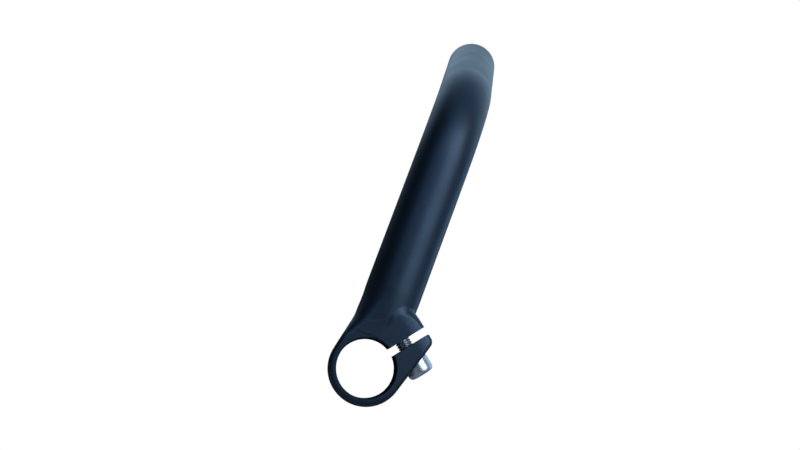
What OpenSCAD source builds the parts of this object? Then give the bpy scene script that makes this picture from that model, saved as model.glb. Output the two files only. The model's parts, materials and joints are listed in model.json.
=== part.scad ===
// Bicycle bar end: a bent tube grip with a split clamp ring, drawn in millimetres.
// The origin is the middle of the clamp bore. +Y is the bore axis, towards the middle of
// the handlebar, +Z runs up the straight part of the horn, and the slit and bolt are at +X.

/* [Clamp] */
// Diameter of the handlebar the clamp closes on
bar_d = 22.2; // [19:0.1:31.8]
// Outer diameter of the clamp ring
ring_d = 28.4; // [25:0.1:40]
// Width of the clamp along the bar
clamp_w = 14.7; // [10:0.1:25]
// Rounding of the ring's outer edges
ring_edge = 1.9; // [0.5:0.1:3]
// Chamfer at both ends of the bore
bore_chamfer = 0.4; // [0:0.1:1]
// Rounding of the lugs' outer edges
lug_edge = 0.6; // [0.3:0.1:2]
// Direction of the slit, up from +X
slit_angle = 52; // [20:1:80]
// Width of the open slit
slit_w = 3.2; // [1:0.1:5]
// Distance of the lugs' end face from the bore axis
lug_reach = 26.5; // [22:0.1:32]

/* [Horn] */
// Outer diameter of the tube
tube_d = 21.8; // [18:0.1:26]
// Wall of the hollow tube
tube_wall = 2.4; // [1.5:0.1:4]
// Height of the straight part, from the bore axis to the bend
straight_len = 84; // [60:1:120]
// Radius of the bend at the tube's centre line
bend_r = 42; // [25:1:80]
// Angle of the bend
bend_angle = 60; // [0:1:90]
// Length of the straight grip beyond the bend
grip_len = 62; // [20:1:120]
// Offset of the tube's centre line to the outboard side
tube_offset = -2.8; // [-6:0.1:4]
// Height at which the round tube starts
neck_top = 34; // [30:1:60]
// Height at which the neck is as thin as the clamp
neck_foot = 20; // [14:1:24]
// Rounding of the neck's front and back edges where it meets the ring
foot_edge = 4.3; // [2:0.1:6]
// Height over which the neck's corners become round
corner_rise = 15; // [6:0.5:20]
// Height of the bottom of the hollow
hollow_foot = 32; // [28:1:60]

/* [Bolt] */
// Thread diameter
bolt_d = 6; // [5:0.5:8]
// Length under the head
bolt_len = 20; // [14:1:30]
// Diameter of the head
head_d = 10; // [8:0.1:13]
// Height of the head
head_h = 6; // [4:0.1:8]
// Socket size across flats
socket_af = 5; // [3:0.5:6]
// Distance of the bolt from the bore axis
bolt_reach = 17.1; // [14:0.1:22]
// Distance of the head's seat from the middle of the slit
seat_n = 7.3; // [5:0.1:10]

/* [Plug] */
// Thickness of the plug's rim on the tube's end
plug_rim = 1.2; // [0.5:0.1:3]
// Length of the plug inside the tube
plug_len = 14; // [6:1:30]

/* [Hidden] */
$fn = 96;
ring_r = ring_d / 2;
half_w = clamp_w / 2;
tube_r = tube_d / 2;
hollow_r = tube_r - tube_wall;
bolt_r = bolt_d / 2;
neck_steps = 20;
arc_steps = 14;
foot_start = neck_foot - 5;

// A point given along the slit (r) and across it towards the lower lug (n)
function slit_x(r, n) = r * cos(slit_angle) + n * sin(slit_angle);
function slit_z(r, n) = r * sin(slit_angle) - n * cos(slit_angle);

// Ease from 0 to 1, going slightly under 0 below the foot
function ease(t) = t < 0 ? 0.12 * t : t * t * (3 - 2 * t);

// One level of the neck: a rounded rectangle that becomes the tube's circle
function neck_t(z) = (z - neck_foot) / (neck_top - neck_foot);
function neck_out(z) = half_w + (tube_r + tube_offset - half_w) * ease(neck_t(z));
function neck_in(z) = half_w + (tube_r - tube_offset - half_w) * ease(neck_t(z));
function neck_b(z) = (neck_out(z) + neck_in(z)) / 2;
function neck_c(z) = (neck_in(z) - neck_out(z)) / 2;
function neck_rc(z) = foot_edge + (neck_b(z) - foot_edge) * max(0, ease(min(1, (z - neck_foot + 6) / corner_rise)));
function level(z, s) = [
    for (q = [0:3]) for (i = [0:arc_steps])
        let (a = 90 * (q + i / arc_steps),
             rc = min(neck_rc(z), neck_b(z)) - 0.01,
             cx = (q == 0 || q == 3 ? 1 : -1) * (tube_r - rc),
             cy = (q < 2 ? 1 : -1) * (neck_b(z) - rc))
        [s * (cx + rc * cos(a)), neck_c(z) + s * (cy + rc * sin(a)), z]
];

// Disc across the bore axis with rounded edges
module edge_disc(r, w, f, n) {
    rotate([90, 0, 0]) rotate_extrude($fn = n)
        polygon(concat(
            [[0, -w / 2]],
            [for (i = [0:4]) [r - f + f * sin(22.5 * i), -w / 2 + f - f * cos(22.5 * i)]],
            [for (i = [0:4]) [r - f + f * cos(22.5 * i), w / 2 - f + f * sin(22.5 * i)]],
            [[0, w / 2]]));
}

// Solid block of the ring, both lugs and the foot of the neck
module clamp_block() {
    hull() {
        edge_disc(ring_r, clamp_w, ring_edge, 96);
        translate([slit_x(lug_reach - 2.7, 3.26), 0, slit_z(lug_reach - 2.7, 3.26)])
            edge_disc(2.7, clamp_w, lug_edge, 32);
        translate([slit_x(lug_reach - 0.62, 1), 0, slit_z(lug_reach - 0.62, 1)])
            edge_disc(0.62, clamp_w, lug_edge, 24);
        translate([slit_x(lug_reach - 2, -8.9), 0, slit_z(lug_reach - 2, -8.9)])
            edge_disc(2, clamp_w, lug_edge, 32);
        translate([-tube_r + 5.1, 0, neck_foot - 3.5])
            edge_disc(5, clamp_w, foot_edge, 48);
    }
}

// Forged neck between the flat clamp and the round tube
module neck() {
    m = 4 * (arc_steps + 1);
    zs = [for (k = [0:neck_steps]) foot_start + (neck_top + 0.5 - foot_start) * k / neck_steps];
    pts = [for (z = zs) each level(min(z, neck_top), z > neck_top ? 0.985 : 1)];
    lifted = [for (k = [0:len(pts) - 1]) [pts[k][0], pts[k][1], zs[floor(k / m)]]];
    polyhedron(
        points = lifted,
        faces = concat(
            [[for (i = [0:m - 1]) i]],
            [[for (i = [m - 1:-1:0]) neck_steps * m + i]],
            [for (k = [0:neck_steps - 1]) for (i = [0:m - 1])
                [k * m + i, (k + 1) * m + i, (k + 1) * m + (i + 1) % m]],
            [for (k = [0:neck_steps - 1]) for (i = [0:m - 1])
                [k * m + i, (k + 1) * m + (i + 1) % m, k * m + (i + 1) % m]]),
        convexity = 4);
}

// Stands things in the bend's plane: the centre of the bend at 0, its start at +X
module at_bend() {
    translate([0, -tube_offset + bend_r, straight_len]) rotate([90, 0, -90]) children();
}

// Puts things drawn along +Z at the start of the grip's straight end
module at_grip() {
    at_bend() rotate([0, 0, bend_angle]) translate([bend_r, 0, 0]) rotate([-90, 0, 0]) children();
}

// Cross-section of the hollow tube, thinner by a skin on both sides
module tube_ring(skin) {
    difference() {
        circle(r = tube_r - skin);
        circle(r = hollow_r + skin);
    }
}

// The hollow horn from the bend to the tip. The grip is a hair thinner and starts inside the bend.
module bent_tube() {
    at_bend() rotate_extrude(angle = bend_angle) translate([bend_r, 0]) tube_ring(0);
    at_grip() translate([0, 0, -0.5]) linear_extrude(grip_len - plug_rim + 0.5) tube_ring(0.1);
}

// Round bar along the straight part, from a height up to the bend
module straight_bar(r, from) {
    translate([0, -tube_offset, from]) cylinder(r = r, h = straight_len - from);
}

// Stands things in the bolt's frame: the head is at -Z and the slit's middle at 0
module at_bolt() {
    rotate([0, -slit_angle, 0]) translate([bolt_reach, 0, 0]) children();
}

module horn_body() {
    color([0.11, 0.14, 0.19]) difference() {
        union() {
            clamp_block();
            neck();
            straight_bar(tube_r, neck_top);
            bent_tube();
        }
        rotate([90, 0, 0]) cylinder(d = bar_d, h = clamp_w + 4, center = true);
        for (side = [0, 180]) rotate([90, 0, side]) translate([0, 0, half_w - bore_chamfer])
            cylinder(r1 = bar_d / 2, r2 = bar_d / 2 + 2 * bore_chamfer, h = 2 * bore_chamfer);
        straight_bar(hollow_r, hollow_foot);
        rotate([0, -slit_angle, 0]) translate([bar_d / 2 - 3, -half_w - 2, -slit_w / 2])
            cube([lug_reach, clamp_w + 4, slit_w]);
        at_bolt() {
            translate([0, 0, -seat_n - 9]) cylinder(d = head_d + 1, h = 9);
            translate([0, 0, -seat_n - 1]) cylinder(r = bolt_r + 0.3, h = seat_n + 1);
            cylinder(r = bolt_r + 0.05, h = bolt_len - seat_n + 1.8);
        }
    }
}

module end_plug() {
    color([0.07, 0.09, 0.08]) at_grip() translate([0, 0, grip_len - plug_rim])
        rotate_extrude() polygon(concat(
            [[0, -plug_len], [hollow_r - 0.9, -plug_len], [hollow_r - 0.05, -plug_len + 1.6],
             [hollow_r - 0.05, 0], [tube_r, 0]],
            [for (i = [0:5]) [tube_r - 0.8 + 0.8 * cos(18 * i), plug_rim - 0.8 + 0.8 * sin(18 * i)]],
            [[0, plug_rim + 0.4]]));
}

module clamp_bolt() {
    color([0.72, 0.74, 0.77]) at_bolt() difference() {
        union() {
            translate([0, 0, -seat_n - head_h]) rotate_extrude()
                polygon(concat(
                    [[0, 0]],
                    [for (i = [0:5]) [head_d / 2 - 1 + 1 * sin(18 * i), 1 - 1 * cos(18 * i)]],
                    [[head_d / 2, head_h], [0, head_h]]));
            translate([0, 0, -seat_n - 0.5]) cylinder(r = bolt_r, h = bolt_len - 0.3);
            translate([0, 0, bolt_len - seat_n - 0.8]) cylinder(r1 = bolt_r, r2 = bolt_r - 0.8, h = 0.8);
        }
        translate([0, 0, -seat_n - head_h - 1]) cylinder(d = socket_af / cos(30), h = 4.2, $fn = 6);
    }
}

horn_body();
end_plug();
clamp_bolt();
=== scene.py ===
"""Picture scene of a bicycle bar end: a bent black tube with a split clamp ring.

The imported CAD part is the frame. The body and the bolt are skinned again here, with softer
transitions and a cut thread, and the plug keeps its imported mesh. All three get procedural
materials, and the scene stands them before a white background.
"""

import json
import logging
from dataclasses import dataclass
from enum import Enum
from math import atan2, cos, pi, radians, sin, tan
from typing import ClassVar

import bmesh
import bpy
import numpy as np
from mathutils import Matrix, Vector

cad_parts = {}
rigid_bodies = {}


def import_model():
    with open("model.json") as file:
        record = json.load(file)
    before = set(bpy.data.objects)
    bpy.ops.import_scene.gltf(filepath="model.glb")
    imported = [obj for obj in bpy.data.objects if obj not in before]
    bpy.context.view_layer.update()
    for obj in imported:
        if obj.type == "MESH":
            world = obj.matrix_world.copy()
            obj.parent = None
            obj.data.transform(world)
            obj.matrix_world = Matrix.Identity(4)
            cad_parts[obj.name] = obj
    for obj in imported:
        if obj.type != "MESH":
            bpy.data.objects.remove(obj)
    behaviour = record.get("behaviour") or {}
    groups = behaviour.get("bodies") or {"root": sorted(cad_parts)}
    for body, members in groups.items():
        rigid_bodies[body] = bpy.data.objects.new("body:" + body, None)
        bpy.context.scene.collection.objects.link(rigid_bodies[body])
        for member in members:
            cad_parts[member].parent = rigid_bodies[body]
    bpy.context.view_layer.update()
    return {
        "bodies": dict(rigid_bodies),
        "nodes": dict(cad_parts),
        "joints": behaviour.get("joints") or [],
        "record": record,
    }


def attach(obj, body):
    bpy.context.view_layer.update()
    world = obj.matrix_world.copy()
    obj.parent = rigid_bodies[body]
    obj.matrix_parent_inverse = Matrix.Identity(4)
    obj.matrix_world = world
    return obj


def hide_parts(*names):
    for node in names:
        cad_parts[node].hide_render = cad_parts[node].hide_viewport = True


LOG = logging.getLogger("bar_end")
MM = 0.001
WHITE = (1.0, 1.0, 1.0, 1.0)
RGB = tuple[float, float, float]
Span = tuple[float, float]

# Radius in millimetres of the small ring that closes a turned shape at its axis.
AXIS_R = 0.01


class Slot(Enum):
    """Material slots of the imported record."""

    BODY = "anodised"
    PLUG = "plug"
    SCREW = "screw"


def linear(hex_colour: str) -> RGB:
    """Turns an sRGB hex colour into linear RGB.

    Args:
        hex_colour: Six hex digits with a leading hash.

    Returns:
        The colour's three linear channels.
    """
    raw = [int(hex_colour[i : i + 2], 16) / 255 for i in (1, 3, 5)]
    return tuple(c / 12.92 if c <= 0.04045 else ((c + 0.055) / 1.055) ** 2.4 for c in raw)


def add_node(
    tree: bpy.types.NodeTree, kind: str, settings: dict | None = None, inputs: dict | None = None
) -> bpy.types.Node:
    """Adds a node with its settings and inputs.

    Args:
        tree: Node tree that gets it.
        kind: Blender's node type.
        settings: Attributes to set on it.
        inputs: Input name or index to a value, or to the output socket that feeds it.

    Returns:
        The new node.
    """
    node = tree.nodes.new(kind)
    for name, value in (settings or {}).items():
        setattr(node, name, value)
    for name, value in (inputs or {}).items():
        if isinstance(value, bpy.types.NodeSocket):
            tree.links.new(value, node.inputs[name])
        else:
            node.inputs[name].default_value = value
    return node


@dataclass(frozen=True)
class Finish:
    """How a surface looks.

    Args:
        name: Name of the material.
        colour: sRGB hex colour.
        metallic: Principled metallic value.
        roughness: Mean roughness.
        spread: How far the roughness varies either way.
        grain: Size of the surface grain, in millimetres.
        bump: Height of the grain, in millimetres.
        edge: sRGB hex colour that tints glancing reflections.
    """

    CLOUD: ClassVar[float] = 14.2857
    """Size in millimetres of the patches over which the roughness varies."""

    name: str
    colour: str
    metallic: float
    roughness: float
    spread: float
    grain: float
    bump: float
    edge: str = "#ffffff"

    def material(self) -> bpy.types.Material:
        """Makes the material.

        Returns:
            A new material with this colour, roughness and grain.
        """
        material = bpy.data.materials.new(self.name)
        material.use_nodes = True
        tree = material.node_tree
        shader = tree.nodes["Principled BSDF"]
        shader.inputs["Base Color"].default_value = (*linear(self.colour), 1.0)
        shader.inputs["Metallic"].default_value = self.metallic
        shader.inputs["Specular Tint"].default_value = (*linear(self.edge), 1.0)
        place = add_node(tree, "ShaderNodeTexCoord").outputs["Object"]
        cloud, grain = (
            add_node(
                tree,
                "ShaderNodeTexNoise",
                inputs={"Vector": place, "Scale": 1 / (size * MM), "Detail": detail},
            )
            for size, detail in ((self.CLOUD, 3.0), (self.grain, 2.0))
        )
        usual_low, usual_high = 0.3, 0.7
        rough = add_node(
            tree,
            "ShaderNodeMapRange",
            inputs={
                "Value": cloud.outputs["Fac"],
                "From Min": usual_low,
                "From Max": usual_high,
                "To Min": self.roughness - self.spread,
                "To Max": self.roughness + self.spread,
            },
        )
        bump = add_node(
            tree,
            "ShaderNodeBump",
            inputs={"Height": grain.outputs["Fac"], "Strength": 1.0, "Distance": self.bump * MM},
        )
        tree.links.new(rough.outputs["Result"], shader.inputs["Roughness"])
        tree.links.new(bump.outputs["Normal"], shader.inputs["Normal"])
        return material


# Forged aluminium, blasted and anodised black: a dark metal with a blue cast and one broad,
# soft sheen. Its real grain is too fine to show, so it is drawn at a third of a millimetre.
ANODISED = Finish("anodised_black", "#293646", 1.0, 0.46, 0.04, 0.35, 0.004)

# Machined aluminium, anodised in the same bath: the bore keeps the tool's roughness.
# Its almost black colour and dark edge tint are painted shade, so it shows hardly a
# reflection. Its grain is drawn coarser than it is.
SHADED_BORE = Finish("bore_painted_shade", "#0d1218", 1.0, 0.62, 0.05, 0.3, 0.006, "#28323e")

# Moulded polyethylene: a plain dark surface with the weak, even gloss of plastic.
PLASTIC = Finish("plug_plastic", "#1b211f", 0.0, 0.5, 0.06, 0.5, 0.006)

# Zinc-plated steel: a bright grey metal whose highlights are a little hazy.
ZINC = Finish("zinc_steel", "#9aa4b0", 0.95, 0.3, 0.05, 0.6, 0.001)

FINISHES = {Slot.BODY: ANODISED, Slot.PLUG: PLASTIC, Slot.SCREW: ZINC}


@dataclass(frozen=True)
class Softbox:
    """Rectangular lamp, by the directions it fills as the object sees it.

    Args:
        name: Name of the lamp.
        left: Its left side in degrees, from the camera's side towards +X.
        right: Its right side, in the same way.
        low: Its lower edge in degrees above level.
        high: Its upper edge in degrees above level.
        radiance: How bright its face is, with 1 as white.
        tint: sRGB hex colour of its light.
    """

    REACH: ClassVar[float] = 0.6
    """Distance in metres from the object's middle."""

    name: str
    left: float
    right: float
    low: float
    high: float
    radiance: float
    tint: str

    def hang(self, aim: Vector) -> None:
        """Adds the lamp, facing the object.

        Args:
            aim: The object's middle, in metres.
        """
        side, rise = radians(self.left + self.right) / 2, radians(self.low + self.high) / 2
        way = Vector((cos(rise) * sin(side), -cos(rise) * cos(side), sin(rise)))
        data = bpy.data.lights.new(self.name, "AREA")
        data.shape = "RECTANGLE"
        data.size = 2 * self.REACH * tan(radians(self.right - self.left) / 2) * cos(rise)
        data.size_y = 2 * self.REACH * tan(radians(self.high - self.low) / 2)
        data.energy = self.radiance * pi * data.size * data.size_y
        data.color = linear(self.tint)
        lamp = bpy.data.objects.new(self.name, data)
        lamp.location = aim + way * self.REACH
        lamp.rotation_mode = "QUATERNION"
        lamp.rotation_quaternion = way.to_track_quat("Z", "Y")
        lamp.visible_camera = False
        bpy.context.collection.objects.link(lamp)


SOFTBOXES = (
    Softbox("key_low", 12, 34, 4, 26, 4.8, "#d3f1ff"),
    Softbox("key_side", 34, 60, 0, 26, 3.8, "#fff3f0"),
    Softbox("key_high", 12, 55, 26, 44, 6.8, "#fff2e8"),
    Softbox("front", -20, 12, 18, 50, 2.6, "#e7f9ff"),
    Softbox("side_fill", -42, -18, 5, 30, 1.7, "#b3dcff"),
    Softbox("right_fill", 60, 95, -14, 8, 1.0, "#b9e4ff"),
    Softbox("rim", 112, 140, -12, 20, 1.5, "#aed8ff"),
)


@dataclass(frozen=True)
class Studio:
    """Camera, lamps, floor and white background.

    Args:
        eye: Place of the camera, in metres.
        right: Direction of the picture's right side.
        up: Direction of the picture's top.
        back: Direction from the scene to the camera.
        lens: Focal length in millimetres.
        sensor: Width of the sensor in millimetres.
        aim: Middle of the object, which the lamps face, in metres.
        floor_size: Side of the floor, in metres.
        floor_height: Height of the floor, in metres.
        floor_white: sRGB hex colour of the floor.
        floor_in_metal: sRGB hex colour of the floor in the object's reflections.
        floor_glow: How much the floor adds to its lit white as the camera sees it.
        sky_tint: sRGB hex colour of the walls and ceiling in the object's reflections.
        wall_turn: Where the wall behind starts, and where it is full, as a share of straight back.
        wall_lean: How much the wall turns towards +X.
        wall_rise: Where it starts, and where it is full, as the sine of the angle above level.
        wall_level: Brightness of the wall, in reflections.
        ceiling_rise: Where the ceiling starts, and where it is full, in the same way.
        ceiling_level: Brightness of the ceiling, in reflections.
        dark_level: Brightness of the rest of the room, in reflections.
        soft_level: Brightness of the room in all other light.
    """

    eye: Vector = Vector((-15.2, -392.6, -9.3)) * MM
    right: Vector = Vector((0.9345, -0.0774, 0.3475))
    up: Vector = Vector((-0.3554, -0.1449, 0.9234))
    back: Vector = Vector((-0.0211, -0.9864, -0.1629))
    lens: float = 46.7
    sensor: float = 36.0
    aim: Vector = Vector((0.0, 0.0, 60.0)) * MM
    floor_size: float = 6.0
    floor_height: float = -0.3
    floor_white: str = "#f3f3f3"
    floor_in_metal: str = "#aaadb5"
    floor_glow: float = 0.75
    sky_tint: str = "#c4e6ff"
    wall_turn: Span = (0.0, 0.4)
    wall_lean: float = 0.25
    wall_rise: Span = (0.15, 0.45)
    wall_level: float = 1.45
    ceiling_rise: Span = (0.72, 0.85)
    ceiling_level: float = 0.68
    dark_level: float = 0.03
    soft_level: float = 0.3

    def camera(self) -> None:
        """Puts the camera where the photograph was taken from."""
        data = bpy.data.cameras.new("camera")
        data.lens, data.sensor_width = self.lens, self.sensor
        data.clip_start, data.clip_end = 0.01, 20.0
        cam = bpy.data.objects.new("camera", data)
        turn = Matrix((self.right, self.up, self.back)).transposed().to_4x4()
        cam.matrix_world = Matrix.Translation(self.eye) @ turn
        bpy.context.collection.objects.link(cam)
        bpy.context.scene.camera = cam

    def world(self) -> None:
        """Makes a white background, in a room with a pale wall behind and a pale ceiling.

        The camera sees plain white. Metal sees the wall, the ceiling and the dark between
        them, and all other light comes from an even, soft room.
        """
        world = bpy.data.worlds.new("studio")
        bpy.context.scene.world = world
        world.use_nodes = True
        tree = world.node_tree
        sight = add_node(tree, "ShaderNodeLightPath").outputs
        place = add_node(tree, "ShaderNodeTexCoord").outputs["Generated"]
        axis = add_node(tree, "ShaderNodeSeparateXYZ", inputs={0: place}).outputs
        steps = {
            "turn": ("MULTIPLY_ADD", axis["X"], self.wall_lean, axis["Y"]),
            "wall_rise": ("SMOOTHSTEP", axis["Z"], *self.wall_rise),
            "wall_turn": ("SMOOTHSTEP", "turn", *self.wall_turn),
            "wall": ("MULTIPLY", "wall_turn", "wall_rise", 0.0),
            "wall_light": ("MULTIPLY", "wall", self.wall_level, 0.0),
            "ceiling": ("SMOOTHSTEP", axis["Z"], *self.ceiling_rise),
            "ceiling_light": ("MULTIPLY", "ceiling", self.ceiling_level, 0.0),
            "room": ("MAXIMUM", "wall_light", "ceiling_light", 0.0),
            "sweep": ("MAXIMUM", "room", self.dark_level, 0.0),
            "seen": ("MAXIMUM", sight["Is Glossy Ray"], sight["Is Transmission Ray"], 0.0),
            "more": ("SUBTRACT", "sweep", self.soft_level, 0.0),
            "light": ("MULTIPLY_ADD", "seen", "more", self.soft_level),
            "level": ("MAXIMUM", "light", sight["Is Camera Ray"], 0.0),
        }
        made = {}
        for name, (operation, *values) in steps.items():
            values = [made.get(v, v) if isinstance(v, str) else v for v in values]
            if operation == "SMOOTHSTEP":
                kind, settings = "ShaderNodeMapRange", {"interpolation_type": operation}
                inputs = dict(zip(("Value", "From Min", "From Max"), values))
            else:
                kind, settings = "ShaderNodeMath", {"operation": operation}
                inputs = dict(enumerate(values))
            made[name] = add_node(tree, kind, settings, inputs).outputs[0]
        tint = add_node(
            tree,
            "ShaderNodeMix",
            {"data_type": "RGBA"},
            {"Factor": sight["Is Glossy Ray"], "A": WHITE, "B": (*linear(self.sky_tint), 1.0)},
        )
        back = tree.nodes["Background"]
        tree.links.new(tint.outputs["Result"], back.inputs["Color"])
        tree.links.new(made["level"], back.inputs["Strength"])

    def floor(self) -> None:
        """Lays a white floor well under the object, which takes its shadow.

        It is dimmer in the object's metal than to the camera.
        """
        bpy.ops.mesh.primitive_plane_add(
            size=self.floor_size, location=(0.0, 0.0, self.floor_height)
        )
        plane = bpy.context.object
        plane.name = "floor"
        material = bpy.data.materials.new("floor_white")
        material.use_nodes = True
        tree = material.node_tree
        shader = tree.nodes["Principled BSDF"]
        shader.inputs["Roughness"].default_value = 0.9
        shader.inputs["Specular IOR Level"].default_value = 0.0
        shader.inputs["Emission Color"].default_value = WHITE
        sight = add_node(tree, "ShaderNodeLightPath").outputs
        paint = add_node(
            tree,
            "ShaderNodeMix",
            {"data_type": "RGBA"},
            {
                "Factor": sight["Is Glossy Ray"],
                "A": (*linear(self.floor_white), 1.0),
                "B": (*linear(self.floor_in_metal), 1.0),
            },
        )
        glow = add_node(
            tree,
            "ShaderNodeMath",
            {"operation": "MULTIPLY"},
            {0: sight["Is Camera Ray"], 1: self.floor_glow},
        )
        tree.links.new(paint.outputs["Result"], shader.inputs["Base Color"])
        tree.links.new(glow.outputs[0], shader.inputs["Emission Strength"])
        plane.data.materials.append(material)

    def build(self) -> None:
        """Makes everything round the object."""
        self.camera()
        self.world()
        self.floor()
        for box in SOFTBOXES:
            box.hang(self.aim)


@dataclass(frozen=True)
class Sizes:
    """Dimensions of the bar end in millimetres and radians, as in the CAD source.

    Only the rounding of the lugs and of the neck's foot is softer here than there.

    Args:
        bore_r: Radius of the clamp's bore.
        bore_chamfer: Chamfer at both ends of the bore.
        ring_r: Outer radius of the clamp ring.
        half_w: Half the clamp's width along the bar.
        ring_edge: Rounding of the ring's edges.
        lug_edge: Rounding of the lugs' edges.
        slit_angle: Direction of the slit, up from +X.
        slit_w: Width of the slit.
        lug_reach: Distance of the lugs' end from the bore's axis.
        tube_r: Radius of the tube.
        hollow_r: Radius of the tube's hollow.
        offset: How far the tube's middle stands towards the front.
        straight: Height at which the bend starts.
        bend_r: Radius of the bend.
        bend: Angle of the bend.
        grip: Length of the straight grip.
        rim: Thickness of the plug's rim.
        neck_top: Height at which the neck is fully round.
        neck_foot: Height at which the neck is as thin as the clamp.
        foot_edge: Rounding of the neck's back edges at its foot.
        corner_rise: Height over which that rounding grows to the tube's.
        hollow_foot: Height of the bottom of the hollow.
        bolt_r: Radius of the screw's thread.
        bolt_len: Length of the screw under its head.
        head_r: Radius of the screw's head.
        head_h: Height of the screw's head.
        socket: Width of the hexagon socket across its flats.
        bolt_reach: Distance of the screw from the bore's axis.
        seat: Distance of the head's seat from the slit's middle.
    """

    bore_r: float = 11.1
    bore_chamfer: float = 0.4
    ring_r: float = 14.2
    half_w: float = 7.35
    ring_edge: float = 1.9
    lug_edge: float = 1.5
    slit_angle: float = radians(52)
    slit_w: float = 3.2
    lug_reach: float = 26.5
    tube_r: float = 10.9
    hollow_r: float = 8.5
    offset: float = -2.8
    straight: float = 84.0
    bend_r: float = 42.0
    bend: float = radians(60)
    grip: float = 62.0
    rim: float = 1.2
    neck_top: float = 34.0
    neck_foot: float = 20.0
    foot_edge: float = 5.0
    corner_rise: float = 14.0
    hollow_foot: float = 32.0
    bolt_r: float = 3.0
    bolt_len: float = 20.0
    head_r: float = 5.0
    head_h: float = 6.0
    socket: float = 5.0
    bolt_reach: float = 17.1
    seat: float = 7.3

    def slit_point(self, along: float, across: float) -> Span:
        """Turns a point given along the slit and across it, towards the lower lug, into x and z."""
        c, s = cos(self.slit_angle), sin(self.slit_angle)
        return along * c + across * s, along * s - across * c

    def bolt_frame(self) -> Matrix:
        """Finds the screw's frame.

        Returns:
            A frame whose +Z runs from the slit's middle towards the screw's head.
        """
        c, s = cos(self.slit_angle), sin(self.slit_angle)
        x, z = self.slit_point(self.bolt_reach, 0.0)
        along, across = Vector((c, 0, s)), Vector((s, 0, -c))
        turn = Matrix((along, across.cross(along), across)).transposed().to_4x4()
        return Matrix.Translation((x, 0, z)) @ turn


def soft_step(t: np.ndarray) -> np.ndarray:
    """Smooth step from 0 to 1, held outside that range."""
    t = np.clip(t, 0.0, 1.0)
    return t * t * (3.0 - 2.0 * t)


def fade(value: np.ndarray, span: Span) -> np.ndarray:
    """Smooth step over a span given by its start and its length, which runs down if negative."""
    return soft_step((value - span[0]) / span[1])


def soft_min(a: np.ndarray, b: np.ndarray, k: np.ndarray) -> np.ndarray:
    """Joins two distance fields with a fillet of about k."""
    h = np.maximum(k - np.abs(a - b), 0.0) / k
    return np.minimum(a, b) - h * h * k * 0.25


def rounded(qx: np.ndarray, qy: np.ndarray, r: np.ndarray) -> np.ndarray:
    """Finds the distance to a rounded corner.

    Args:
        qx: Distances past one side.
        qy: Distances past the other side.
        r: Radii of the rounding.

    Returns:
        The signed distances, negative inside.
    """
    qx, qy = qx + r, qy + r
    outside = np.hypot(np.maximum(qx, 0.0), np.maximum(qy, 0.0))
    return outside + np.minimum(np.maximum(qx, qy), 0.0) - r


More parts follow.
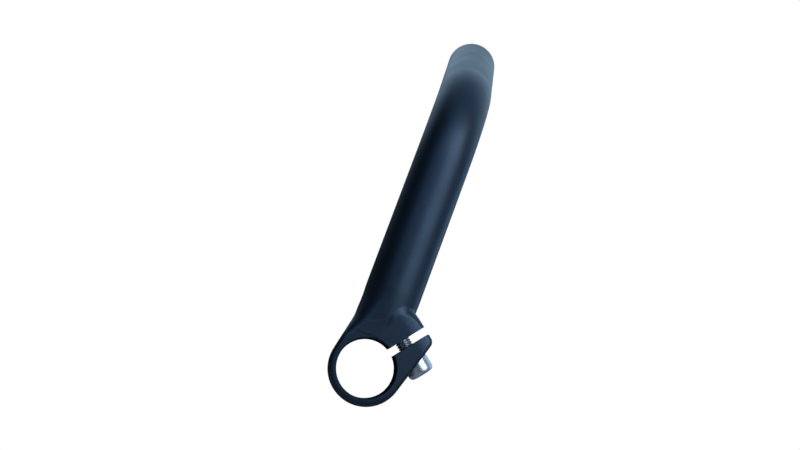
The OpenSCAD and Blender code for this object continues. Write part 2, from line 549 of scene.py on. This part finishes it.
@dataclass
class ForgedForm:
    """Distance field of the clamp block and the neck, before anything is cut.

    Each span is a start and a length in millimetres, over which something fades in.

    Args:
        sizes: The part's dimensions.
        lug_corners: Radius of each of the lugs' corners, and its place across the slit.
        foot_corner: Radius of the corner under the neck's left foot, and its depth below it.
        edge_change: Along the slit, where the ring's edges turn into the lugs'.
        left_side: Along x, where the left side begins.
        left_rise: Up z, where the left side's edges grow to the tube's full round.
        left_more: How much rounder than the ring's they are once they are in full force.
        end_edge: Rounding of the upper lug's end beside the slit.
        end_growth: Above the slit, where that grows to the tube's full round.
        upper_lug: Above the slit, where the upper lug begins.
        lug_end: Along the slit, where the lugs' ends begin.
        crown_start: Place along the slit from which the lugs' faces fall off.
        crown_d: Diameter of the curve in which they fall off.
        front_rise: Up z, where the neck's front comes out to the tube's.
        front_sink: How far the foot of the neck's front lies under the clamp's face.
        neck_start: Height at which the neck begins, inside the clamp.
        corner_lead: How far below its foot the neck's back edges start to grow.
        fillet: Fillet between the neck and the clamp.
        shoulder_fillet: How much wider that is over the upper lug.
        shoulder_above: Above the slit, where the wider fillet begins.
        shoulder_left: Along x, where it begins.
        shoulder_right: Along x, where it begins from the other side.
    """

    sizes: Sizes
    lug_corners: tuple[Span, ...] = ((2.7, 3.26), (0.62, 1.0), (2.0, -13.0))
    foot_corner: Span = (5.0, 3.5)
    edge_change: Span = (12.0, 9.0)
    left_side: Span = (4.0, -6.0)
    left_rise: Span = (5.0, 24.0)
    left_more: float = 1.5
    end_edge: float = 2.0
    end_growth: Span = (3.0, 11.0)
    upper_lug: Span = (0.0, 3.0)
    lug_end: Span = (14.0, 6.0)
    crown_start: float = 20.0
    crown_d: float = 42.0
    front_rise: Span = (12.0, 19.0)
    front_sink: float = 0.1
    neck_start: float = 12.0
    corner_lead: float = 6.0
    fillet: float = 0.4
    shoulder_fillet: float = 1.3
    shoulder_above: Span = (7.5, 3.0)
    shoulder_left: Span = (1.0, 2.5)
    shoulder_right: Span = (9.0, -3.0)

    def __post_init__(self) -> None:
        """Prepares the outline of the clamp block, which is the hull of five discs."""
        s = self.sizes
        self.discs = [(0.0, 0.0, s.ring_r)]
        for r, across in self.lug_corners:
            self.discs.append((*s.slit_point(s.lug_reach - r, across), r))
        r, depth = self.foot_corner
        self.discs.append((r - s.tube_r, s.neck_foot - depth, r))
        directions = 480
        turns = np.linspace(0.0, 2 * pi, directions, endpoint=False)
        self.ways = np.stack([np.cos(turns), np.sin(turns)])
        edges = [x * self.ways[0] + z * self.ways[1] + r for x, z, r in self.discs]
        self.reach = np.max(edges, axis=0)

    def slit_place(self, p: np.ndarray) -> tuple[np.ndarray, np.ndarray]:
        """Finds where points lie along the slit, and how far they are above it."""
        c, s = cos(self.sizes.slit_angle), sin(self.sizes.slit_angle)
        return p[:, 0] * c + p[:, 2] * s, p[:, 2] * c - p[:, 0] * s

    def left_edge(self, z: np.ndarray) -> np.ndarray:
        """Finds the rounding of the left side's edges at some heights."""
        s = self.sizes
        return s.ring_edge + (s.tube_r - s.ring_edge) * fade(z, self.left_rise)

    def block(self, p: np.ndarray) -> np.ndarray:
        """Finds the distance to the clamp block.

        Its edges are rounder on the left and where the upper lug runs into the tube, and the
        lugs' faces fall off towards their ends.

        Args:
            p: Points in millimetres, one a row.

        Returns:
            The signed distances, negative inside.
        """
        s = self.sizes
        outline = np.max(p[:, (0, 2)] @ self.ways - self.reach, axis=1)
        along, above = self.slit_place(p)
        edge = s.ring_edge - (s.ring_edge - s.lug_edge) * fade(along, self.edge_change)
        left = self.left_edge(p[:, 2])
        leftness = fade(p[:, 0], self.left_side) * fade(left, (s.ring_edge, self.left_more))
        edge = edge + (left - edge) * leftness
        start, length = self.end_growth
        growth = np.clip((above - start) / length, 0.0, 1.0) ** 2
        end = self.end_edge + (s.tube_r - self.end_edge) * growth
        endness = fade(above, self.upper_lug) * fade(along, self.lug_end)
        edge = edge + np.maximum(end - edge, 0.0) * endness
        crown = np.maximum(along - self.crown_start, 0.0) ** 2 / self.crown_d
        return rounded(outline, np.abs(p[:, 1]) - s.half_w + crown, edge)

    def levels(self, z: np.ndarray) -> tuple[np.ndarray, np.ndarray, np.ndarray]:
        """Finds the neck's size at some heights.

        Below its foot the neck goes on sinking into the clamp, so that no step shows.

        Args:
            z: Heights in millimetres.

        Returns:
            How far the neck reaches to the front, and to the back, and the rounding of its
            back edges.
        """
        s, sinking, dip = self.sizes, -0.3, -1.5
        start, length = self.front_rise
        slope = np.clip((z - start) / length, sinking, 1.0)
        foot = s.half_w - self.front_sink
        front = foot + (s.tube_r + s.offset - foot) * (slope + soft_step(slope)) / 2
        rise = (z - s.neck_foot) / (s.neck_top - s.neck_foot)
        swell = np.where(rise < 0, dip * rise * rise, soft_step(rise))
        back = s.half_w + (s.tube_r - s.offset - s.half_w) * swell
        roundness = fade(z, (s.neck_foot - self.corner_lead, s.corner_rise))
        return front, back, s.foot_edge + (s.tube_r - s.foot_edge) * roundness

    def neck(self, p: np.ndarray) -> np.ndarray:
        """Finds the distance to the neck and the foot of the tube.

        Args:
            p: Points in millimetres, one a row.

        Returns:
            The signed distances, negative inside.
        """
        front, back, edge = self.levels(p[:, 2])
        side = np.abs(p[:, 0]) - self.sizes.tube_r
        bulge = np.where(p[:, 0] < 0, self.left_edge(p[:, 2]), self.sizes.tube_r)
        fore, aft = rounded(side, -p[:, 1] - front, bulge), rounded(side, p[:, 1] - back, edge)
        return np.maximum(np.maximum(fore, aft), self.neck_start - p[:, 2])

    def whole(self, p: np.ndarray) -> np.ndarray:
        """Finds the distance to the whole form, with a wider fillet over the upper lug.

        Args:
            p: Points in millimetres, one a row.

        Returns:
            The signed distances, negative inside.
        """
        shoulder = fade(self.slit_place(p)[1], self.shoulder_above)
        shoulder = shoulder * fade(p[:, 0], self.shoulder_left) * fade(p[:, 0], self.shoulder_right)
        return soft_min(self.neck(p), self.block(p), self.fillet + self.shoulder_fillet * shoulder)

    def settle(self, p: np.ndarray) -> np.ndarray:
        """Moves points onto the form's surface, in a few short steps down the field's slope.

        Args:
            p: Points in millimetres, one a row.

        Returns:
            The moved points.
        """
        rounds, probe, longest, flattest = 6, 0.02, 0.4, 0.25
        for _ in range(rounds):
            value = self.whole(p)
            slopes = [
                (self.whole(p + d) - self.whole(p - d)) / (2 * probe) for d in np.eye(3) * probe
            ]
            slope = np.stack(slopes, axis=1)
            step = value / np.maximum((slope**2).sum(axis=1), flattest)
            p = p - slope * np.clip(step, -longest, longest)[:, None]
        return p


@dataclass(frozen=True)
class MeshMaker:
    """Makes and joins meshes in millimetres.

    Args:
        sizes: The part's dimensions.
    """

    sizes: Sizes

    def link(self, name: str, bm: bmesh.types.BMesh) -> bpy.types.Object:
        """Turns a bmesh into an object with outward normals.

        Args:
            name: Name of the object.
            bm: The bmesh, which is freed.

        Returns:
            The object.
        """
        bmesh.ops.recalc_face_normals(bm, faces=bm.faces)
        mesh = bpy.data.meshes.new(name)
        bm.to_mesh(mesh)
        bm.free()
        made = bpy.data.objects.new(name, mesh)
        bpy.context.collection.objects.link(made)
        return made

    def bridge(self, bm: bmesh.types.BMesh, rows: list[list[bmesh.types.BMVert]]) -> None:
        """Fills the bands between rows of as many vertices with quads.

        Args:
            bm: The mesh that has the vertices.
            rows: Closed rows of vertices, in order.
        """
        for low, high in zip(rows, rows[1:]):
            for i, v in enumerate(low):
                j = (i + 1) % len(low)
                bm.faces.new((v, low[j], high[j], high[i]))

    def skin(self, name: str, rings: list[list[Vector]]) -> bpy.types.Object:
        """Skins rings of equal length into a closed tube.

        Args:
            name: Name of the object.
            rings: Rings of points.

        Returns:
            The object.
        """
        bm = bmesh.new()
        rows = [[bm.verts.new(p) for p in ring] for ring in rings]
        self.bridge(bm, rows)
        bm.faces.new(rows[0])
        bm.faces.new(rows[-1])
        return self.link(name, bm)

    def lathe(
        self, name: str, profile: list[Span], frame: Matrix, steps: int = 128
    ) -> bpy.types.Object:
        """Turns a profile about a frame's Z axis.

        Args:
            name: Name of the object.
            profile: Points of radius and height.
            frame: The frame it is turned in.
            steps: How many points a turn has.

        Returns:
            The object.
        """
        turns = [2 * pi * i / steps for i in range(steps)]
        return self.skin(
            name, [[frame @ Vector((r * cos(t), r * sin(t), h)) for t in turns] for r, h in profile]
        )

    def sweep_rings(
        self, radius: float, start: float, end: float, turns: list[float], tip: float = 0.0
    ) -> list[list[Vector]]:
        """Finds the rings of the bent tube.

        Args:
            radius: Radius of the tube.
            start: Height at which it starts.
            end: Length of the straight grip.
            turns: Angles of each ring's points.
            tip: Rounding of the far end's edge.

        Returns:
            Rings of points from the foot to the tip.
        """
        s, foot_rows, bend_rows, grip_rows, tip_rows = self.sizes, 26, 41, 31, 6
        heights = np.linspace(start, s.straight, foot_rows)
        stations = [(radius, Vector((0, -s.offset, z)), 0.0) for z in heights]
        middle = Vector((0, -s.offset + s.bend_r, s.straight))
        for a in np.linspace(0, s.bend, bend_rows)[1:]:
            stations.append((radius, middle + s.bend_r * Vector((0, -cos(a), sin(a))), a))
        corner = middle + s.bend_r * Vector((0, -cos(s.bend), sin(s.bend)))
        way = Vector((0, sin(s.bend), cos(s.bend)))
        stops = [(radius, d) for d in np.linspace(0, end - tip, grip_rows)[1:]]
        if tip:
            for a in np.linspace(0, pi / 2, tip_rows)[1:]:
                stops.append((radius - tip + tip * cos(a), end - tip + tip * sin(a)))
        stations += [(r, corner + way * d, s.bend) for r, d in stops]
        rings = []
        for r, centre, a in stations:
            across = Vector((0, -cos(a), sin(a)))
            rings.append(
                [centre + r * (Vector((1, 0, 0)) * cos(t) + across * sin(t)) for t in turns]
            )
        return rings

    def only(self, *objects: bpy.types.Object) -> None:
        """Selects just these objects, the first one active.

        Args:
            *objects: What is selected.
        """
        bpy.ops.object.select_all(action="DESELECT")
        for o in objects:
            o.select_set(True)
        bpy.context.view_layer.objects.active = objects[0]

    def cut(self, body: bpy.types.Object, *cutters: bpy.types.Object) -> None:
        """Cuts objects out of a body and removes them.

        Args:
            body: What is cut.
            *cutters: Closed objects, in order.
        """
        for cutter in cutters:
            self.only(body)
            boolean = body.modifiers.new("cut", "BOOLEAN")
            boolean.operation, boolean.solver, boolean.object = "DIFFERENCE", "EXACT", cutter
            bpy.ops.object.modifier_apply(modifier=boolean.name)
            bpy.data.objects.remove(cutter)

    def dress(self, body: bpy.types.Object, angle: float, *materials: bpy.types.Material) -> None:
        """Scales a body to metres, shades it smooth by angle and gives it its materials.

        Args:
            body: The finished shape in millimetres.
            angle: Sharpest angle that is still shaded smooth.
            *materials: Its materials, the main one first.
        """
        body.data.transform(Matrix.Scale(MM, 4))
        self.only(body)
        bpy.ops.object.shade_smooth_by_angle(angle=angle)
        for material in materials:
            body.data.materials.append(material)
        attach(body, "root")


@dataclass(frozen=True)
class HornBody(MeshMaker):
    """The forged body: clamp, neck and tube in one skin, then cut as it is machined.

    Args:
        sizes: The part's dimensions.
        voxel: Size of the faces of the forged skin.
        join: Height at which the forged skin meets the swept tube.
        held: How far above the join points start to stay where they are.
        spare: How far the rough neck goes on above the join.
        rough_foot: Height at which the rough neck starts.
        tip_edge: Rounding of the tube's far end.
        head_room: Room round the screw's head in its pocket.
        hole_room: Room round the screw in the lower lug.
        thread_room: Room round the screw in the upper lug.
        hole_depth: Depth of the hole in the upper lug, from the slit's middle.
        slit_span: Where the slit's cutter starts and ends, from the bore's axis.
        smooth: Sharpest angle that is shaded smooth.
    """

    voxel: float = 0.36
    join: float = 42.0
    held: float = 2.5
    spare: float = 4.0
    rough_foot: float = 14.0
    tip_edge: float = 0.35
    head_room: float = 0.5
    hole_room: float = 0.3
    thread_room: float = 0.05
    hole_depth: float = 14.5
    slit_span: Span = (8.0, 34.0)
    smooth: float = radians(28)

    def rough_block(self, form: ForgedForm) -> bpy.types.Object:
        """Makes the hull of the clamp block's discs, with its edges roughly broken.

        Args:
            form: The form that has the discs.

        Returns:
            The closed hull.
        """
        s, turns, smallest = self.sizes, 48, 0.1
        step_in, step_back = s.ring_edge * 0.6, 1.0
        layers = ((s.half_w, step_in), (s.half_w - step_back, 0.0))
        bm = bmesh.new()
        for x, z, r in form.discs:
            for turn in range(turns):
                a = 2 * pi * turn / turns
                for depth, inset in layers:
                    q = max(r - inset, smallest)
                    for side in (-1, 1):
                        bm.verts.new((x + q * cos(a), side * depth, z + q * sin(a)))
        hull = bmesh.ops.convex_hull(bm, input=bm.verts)
        spare = list({*hull["geom_interior"], *hull["geom_unused"]})
        bmesh.ops.delete(bm, geom=spare, context="VERTS")
        return self.link("block", bm)

    def rough_neck(self, form: ForgedForm) -> bpy.types.Object:
        """Skins the neck over rings that are found on the form by halving.

        Args:
            form: The form it follows.

        Returns:
            The closed neck, a little past the join.
        """
        points, rows, widest, halvings = 64, 40, 20.0, 24
        turns = np.linspace(0.0, 2 * pi, points, endpoint=False)
        ways = np.stack([np.cos(turns), np.sin(turns), np.zeros(points)], axis=1)
        rings = []
        for z in np.linspace(self.rough_foot, self.join + self.spare, rows):
            front, back, _ = form.levels(np.array([z]))
            hub = np.array([0.0, float(back[0] - front[0]) / 2, z])
            near, far = np.zeros(points), np.full(points, widest)
            for _ in range(halvings):
                middle = (near + far) / 2
                inside = form.neck(hub + ways * middle[:, None]) < 0
                near, far = np.where(inside, middle, near), np.where(inside, far, middle)
            rings.append([Vector(q) for q in hub + ways * near[:, None]])
        return self.skin("neck", rings)

    def forging(self) -> bpy.types.Object:
        """Fuses block and neck into one even mesh and settles it on the form.

        Returns:
            The clamp and neck, with spare length above the join.
        """
        form = ForgedForm(self.sizes)
        block, neck = self.rough_block(form), self.rough_neck(form)
        self.only(block, neck)
        bpy.ops.object.join()
        block.data.remesh_voxel_size = self.voxel
        bpy.ops.object.voxel_remesh()
        points = np.empty(len(block.data.vertices) * 3)
        block.data.vertices.foreach_get("co", points)
        points = points.reshape(-1, 3)
        settled = form.settle(points)
        top = points[:, 2] > self.join + self.held
        settled[top] = points[top]
        block.data.vertices.foreach_set("co", settled.ravel())
        return block

    def trunk(self) -> bpy.types.Object:
        """Joins the clamp and neck to the bent tube.

        Returns:
            The closed body before it is cut.
        """
        s, body = self.sizes, self.forging()
        bm = bmesh.new()
        bm.from_mesh(body.data)
        bmesh.ops.bisect_plane(
            bm,
            geom=[*bm.verts, *bm.edges, *bm.faces],
            plane_co=(0, 0, self.join),
            plane_no=(0, 0, 1),
            clear_outer=True,
        )
        rim = {v for e in bm.edges if e.is_boundary for v in e.verts}
        turned = sorted((atan2(-(v.co.y + s.offset), v.co.x), i, v) for i, v in enumerate(rim))
        angles = [t[0] for t in turned]
        rings = self.sweep_rings(s.tube_r, self.join, s.grip - s.rim, angles, self.tip_edge)
        rows = [[t[2] for t in turned]] + [[bm.verts.new(p) for p in ring] for ring in rings[1:]]
        self.bridge(bm, rows)
        bm.faces.new(rows[-1])
        bmesh.ops.recalc_face_normals(bm, faces=bm.faces)
        bm.to_mesh(body.data)
        bm.free()
        return body

    def bore(self) -> bpy.types.Object:
        """Makes the cutter for the bore, whose chamfers run on past both faces.

        Returns:
            The closed cutter.
        """
        s, past = self.sizes, 1.65
        far, mouth = s.half_w + past, s.bore_r + past + s.bore_chamfer
        end = s.half_w - s.bore_chamfer
        side = [(mouth, -far), (s.bore_r, -end), (s.bore_r, end), (mouth, far)]
        profile = [(AXIS_R, -far), *side, (AXIS_R, far)]
        return self.lathe("bore", profile, Matrix.Rotation(-pi / 2, 4, "X"), steps=192)

    def hole(self) -> bpy.types.Object:
        """Makes the cutter for the head's pocket, the clearance hole and the threaded hole.

        Returns:
            The closed cutter.
        """
        s, past = self.sizes, 3.0
        outside = s.seat + s.head_h + past
        steps = (
            (outside, s.seat, s.head_r + self.head_room),
            (s.seat, 0.0, s.bolt_r + self.hole_room),
            (0.0, -self.hole_depth, s.bolt_r + self.thread_room),
        )
        side = [(r, h) for top, bottom, r in steps for h in (top, bottom)]
        profile = [(AXIS_R, outside), *side, (AXIS_R, -self.hole_depth)]
        return self.lathe("hole", profile, s.bolt_frame(), steps=96)

    def slit(self) -> bpy.types.Object:
        """Makes the cutter for the slit, from inside the bore out past the lugs.

        Returns:
            The closed cutter.
        """
        (start, end), across = self.slit_span, 20.0
        c, s = cos(self.sizes.slit_angle), sin(self.sizes.slit_angle)
        turn = Matrix(((c, 0, s), (0, 1, 0), (-s, 0, c))).transposed().to_4x4()
        place = turn @ Matrix.Translation(((start + end) / 2, 0, 0))
        size = Matrix.Diagonal((end - start, across, self.sizes.slit_w, 1.0))
        bm = bmesh.new()
        bmesh.ops.create_cube(bm, size=1.0, matrix=place @ size)
        return self.link("slit", bm)

    def hollow(self) -> bpy.types.Object:
        """Makes the cutter for the tube's hollow, open past the tip.

        Returns:
            The closed cutter.
        """
        s, points, past = self.sizes, 96, 2.0
        turns = [2 * pi * i / points for i in range(points)]
        rings = self.sweep_rings(s.hollow_r, s.hollow_foot, s.grip + past, turns)
        return self.skin("hollow", rings)

    def build(
        self, skin_material: bpy.types.Material, bore_shade_material: bpy.types.Material
    ) -> bpy.types.Object:
        """Makes the body.

        Args:
            skin_material: Its finish.
            bore_shade_material: Finish of the bore's wall, darker than the body's as painted shade.

        Returns:
            The object.
        """
        body = self.trunk()
        body.name = "horn_skin"
        self.cut(body, self.hollow(), self.bore(), self.slit(), self.hole())
        faces, slack = body.data.polygons, 0.05
        near = self.sizes.bore_r + slack
        # The bore's wall gets the darker finish, which paints its shade.
        wall = [f.index for f in faces if np.hypot(f.center.x, f.center.z) < near]
        self.dress(body, self.smooth, skin_material, bore_shade_material)
        for i in wall:
            body.data.polygons[i].material_index = 1
        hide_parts("horn_body")
        return body


@dataclass(frozen=True)
class ClampBolt(MeshMaker):
    """Socket-head screw with a cut thread.

    Args:
        sizes: The part's dimensions.
        pitch: Pitch of the thread.
        depth: Depth of the thread.
        flank: Slope of the thread's flanks, in depths of the thread for each pitch.
        crest: How much of a depth is taken off that, which leaves the crest flat.
        point: Chamfer of the screw's point.
        head_edge: Rounding of the head's outer edge.
        seat_edge: Chamfer under the head.
        socket_depth: Depth of the socket's flats.
        drill: Radius at the bottom of the socket's drilled point, and the point's depth.
        socket_edge: Chamfer of the socket's mouth.
        smooth: Sharpest angle that is shaded smooth.
    """

    pitch: float = 1.0
    depth: float = 0.52
    flank: float = 2.3
    crest: float = 0.1
    point: float = 0.7
    head_edge: float = 1.7
    seat_edge: float = 0.25
    socket_depth: float = 3.2
    drill: Span = (0.4, 0.7)
    socket_edge: float = 0.25
    smooth: float = radians(35)

    def thread(self) -> list[list[Vector]]:
        """Finds the rings of the threaded shank.

        Returns:
            Rings of points from the head to the point.
        """
        s, frame, points, rows_per_mm = self.sizes, self.sizes.bolt_frame(), 64, 12
        end = s.seat - s.bolt_len
        rings = []
        for h in np.linspace(s.seat, end, int(s.bolt_len * rows_per_mm) + 1):
            ring = []
            taper = min(self.point, max(0.0, self.point - (h - end)))
            for i in range(points):
                phase = (h / self.pitch + i / points) % 1.0
                rise = min(1.0, max(0.0, self.flank * abs(phase - 0.5) - self.crest))
                r = s.bolt_r - self.depth * rise - taper
                a = 2 * pi * i / points
                ring.append(frame @ Vector((r * cos(a), r * sin(a), h)))
            rings.append(ring)
        return rings

    def socket_key(self, top: float) -> bpy.types.Object:
        """Makes the cutter for the hexagon socket.

        Args:
            top: Height of the head's top in the screw's frame.

        Returns:
            The closed cutter.
        """
        frame, past = self.sizes.bolt_frame(), 0.85
        flat = self.sizes.socket / 2 / cos(pi / 6)
        tip, sink = self.drill
        profile = (
            (tip, -self.socket_depth - sink),
            (flat, -self.socket_depth),
            (flat, -self.socket_edge),
            (flat + self.socket_edge + past, past),
        )
        ways = [(cos(pi * i / 3), sin(pi * i / 3)) for i in range(6)]
        return self.skin(
            "key", [[frame @ Vector((r * x, r * y, top + h)) for x, y in ways] for r, h in profile]
        )

    def head(self) -> bpy.types.Object:
        """Turns the head and cuts its socket.

        Returns:
            The closed head.
        """
        s, soft, under, edge_rows = self.sizes, self.head_edge, self.seat_edge, 9
        top = s.seat + s.head_h
        profile = [(AXIS_R, s.seat), (s.head_r - under, s.seat), (s.head_r, s.seat + under)]
        for a in np.linspace(0, pi / 2, edge_rows):
            profile.append((s.head_r - soft + soft * cos(a), top - soft + soft * sin(a)))
        head = self.lathe("bolt_skin", [*profile, (AXIS_R, top)], s.bolt_frame())
        self.cut(head, self.socket_key(top))
        return head

    def build(self, material: bpy.types.Material) -> bpy.types.Object:
        """Makes the screw.

        Args:
            material: Its finish.

        Returns:
            The object.
        """
        screw = self.head()
        shank = self.skin("shank", self.thread())
        self.only(screw, shank)
        bpy.ops.object.join()
        self.dress(screw, self.smooth, material)
        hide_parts("clamp_bolt")
        return screw


@dataclass(frozen=True)
class EndPlug:
    """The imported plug, which keeps its mesh.

    Args:
        node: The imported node.
    """

    node: bpy.types.Object

    def build(self, material: bpy.types.Material) -> bpy.types.Object:
        """Gives the plug its finish.

        Args:
            material: Its finish.

        Returns:
            The object.
        """
        for slot in self.node.material_slots:
            slot.material = material
        return self.node


def main() -> None:
    """Builds the object piece by piece, then the studio round it."""
    LOG.setLevel(logging.INFO)
    LOG.addHandler(logging.StreamHandler())
    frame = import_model()
    bpy.ops.object.select_all(action="DESELECT")
    bpy.context.scene.view_settings.view_transform = "Standard"
    sizes = Sizes()
    made = {slot: finish.material() for slot, finish in FINISHES.items()}
    for piece in (
        # The bore's finish is darker than the body's, as painted shade.
        HornBody(sizes).build(made[Slot.BODY], SHADED_BORE.material()),
        ClampBolt(sizes).build(made[Slot.SCREW]),
        EndPlug(frame["nodes"]["end_plug"]).build(made[Slot.PLUG]),
    ):
        LOG.info("%s has %d faces", piece.name, len(piece.data.polygons))
    Studio().build()
    bpy.context.view_layer.update()


if __name__ == "__main__":
    main()
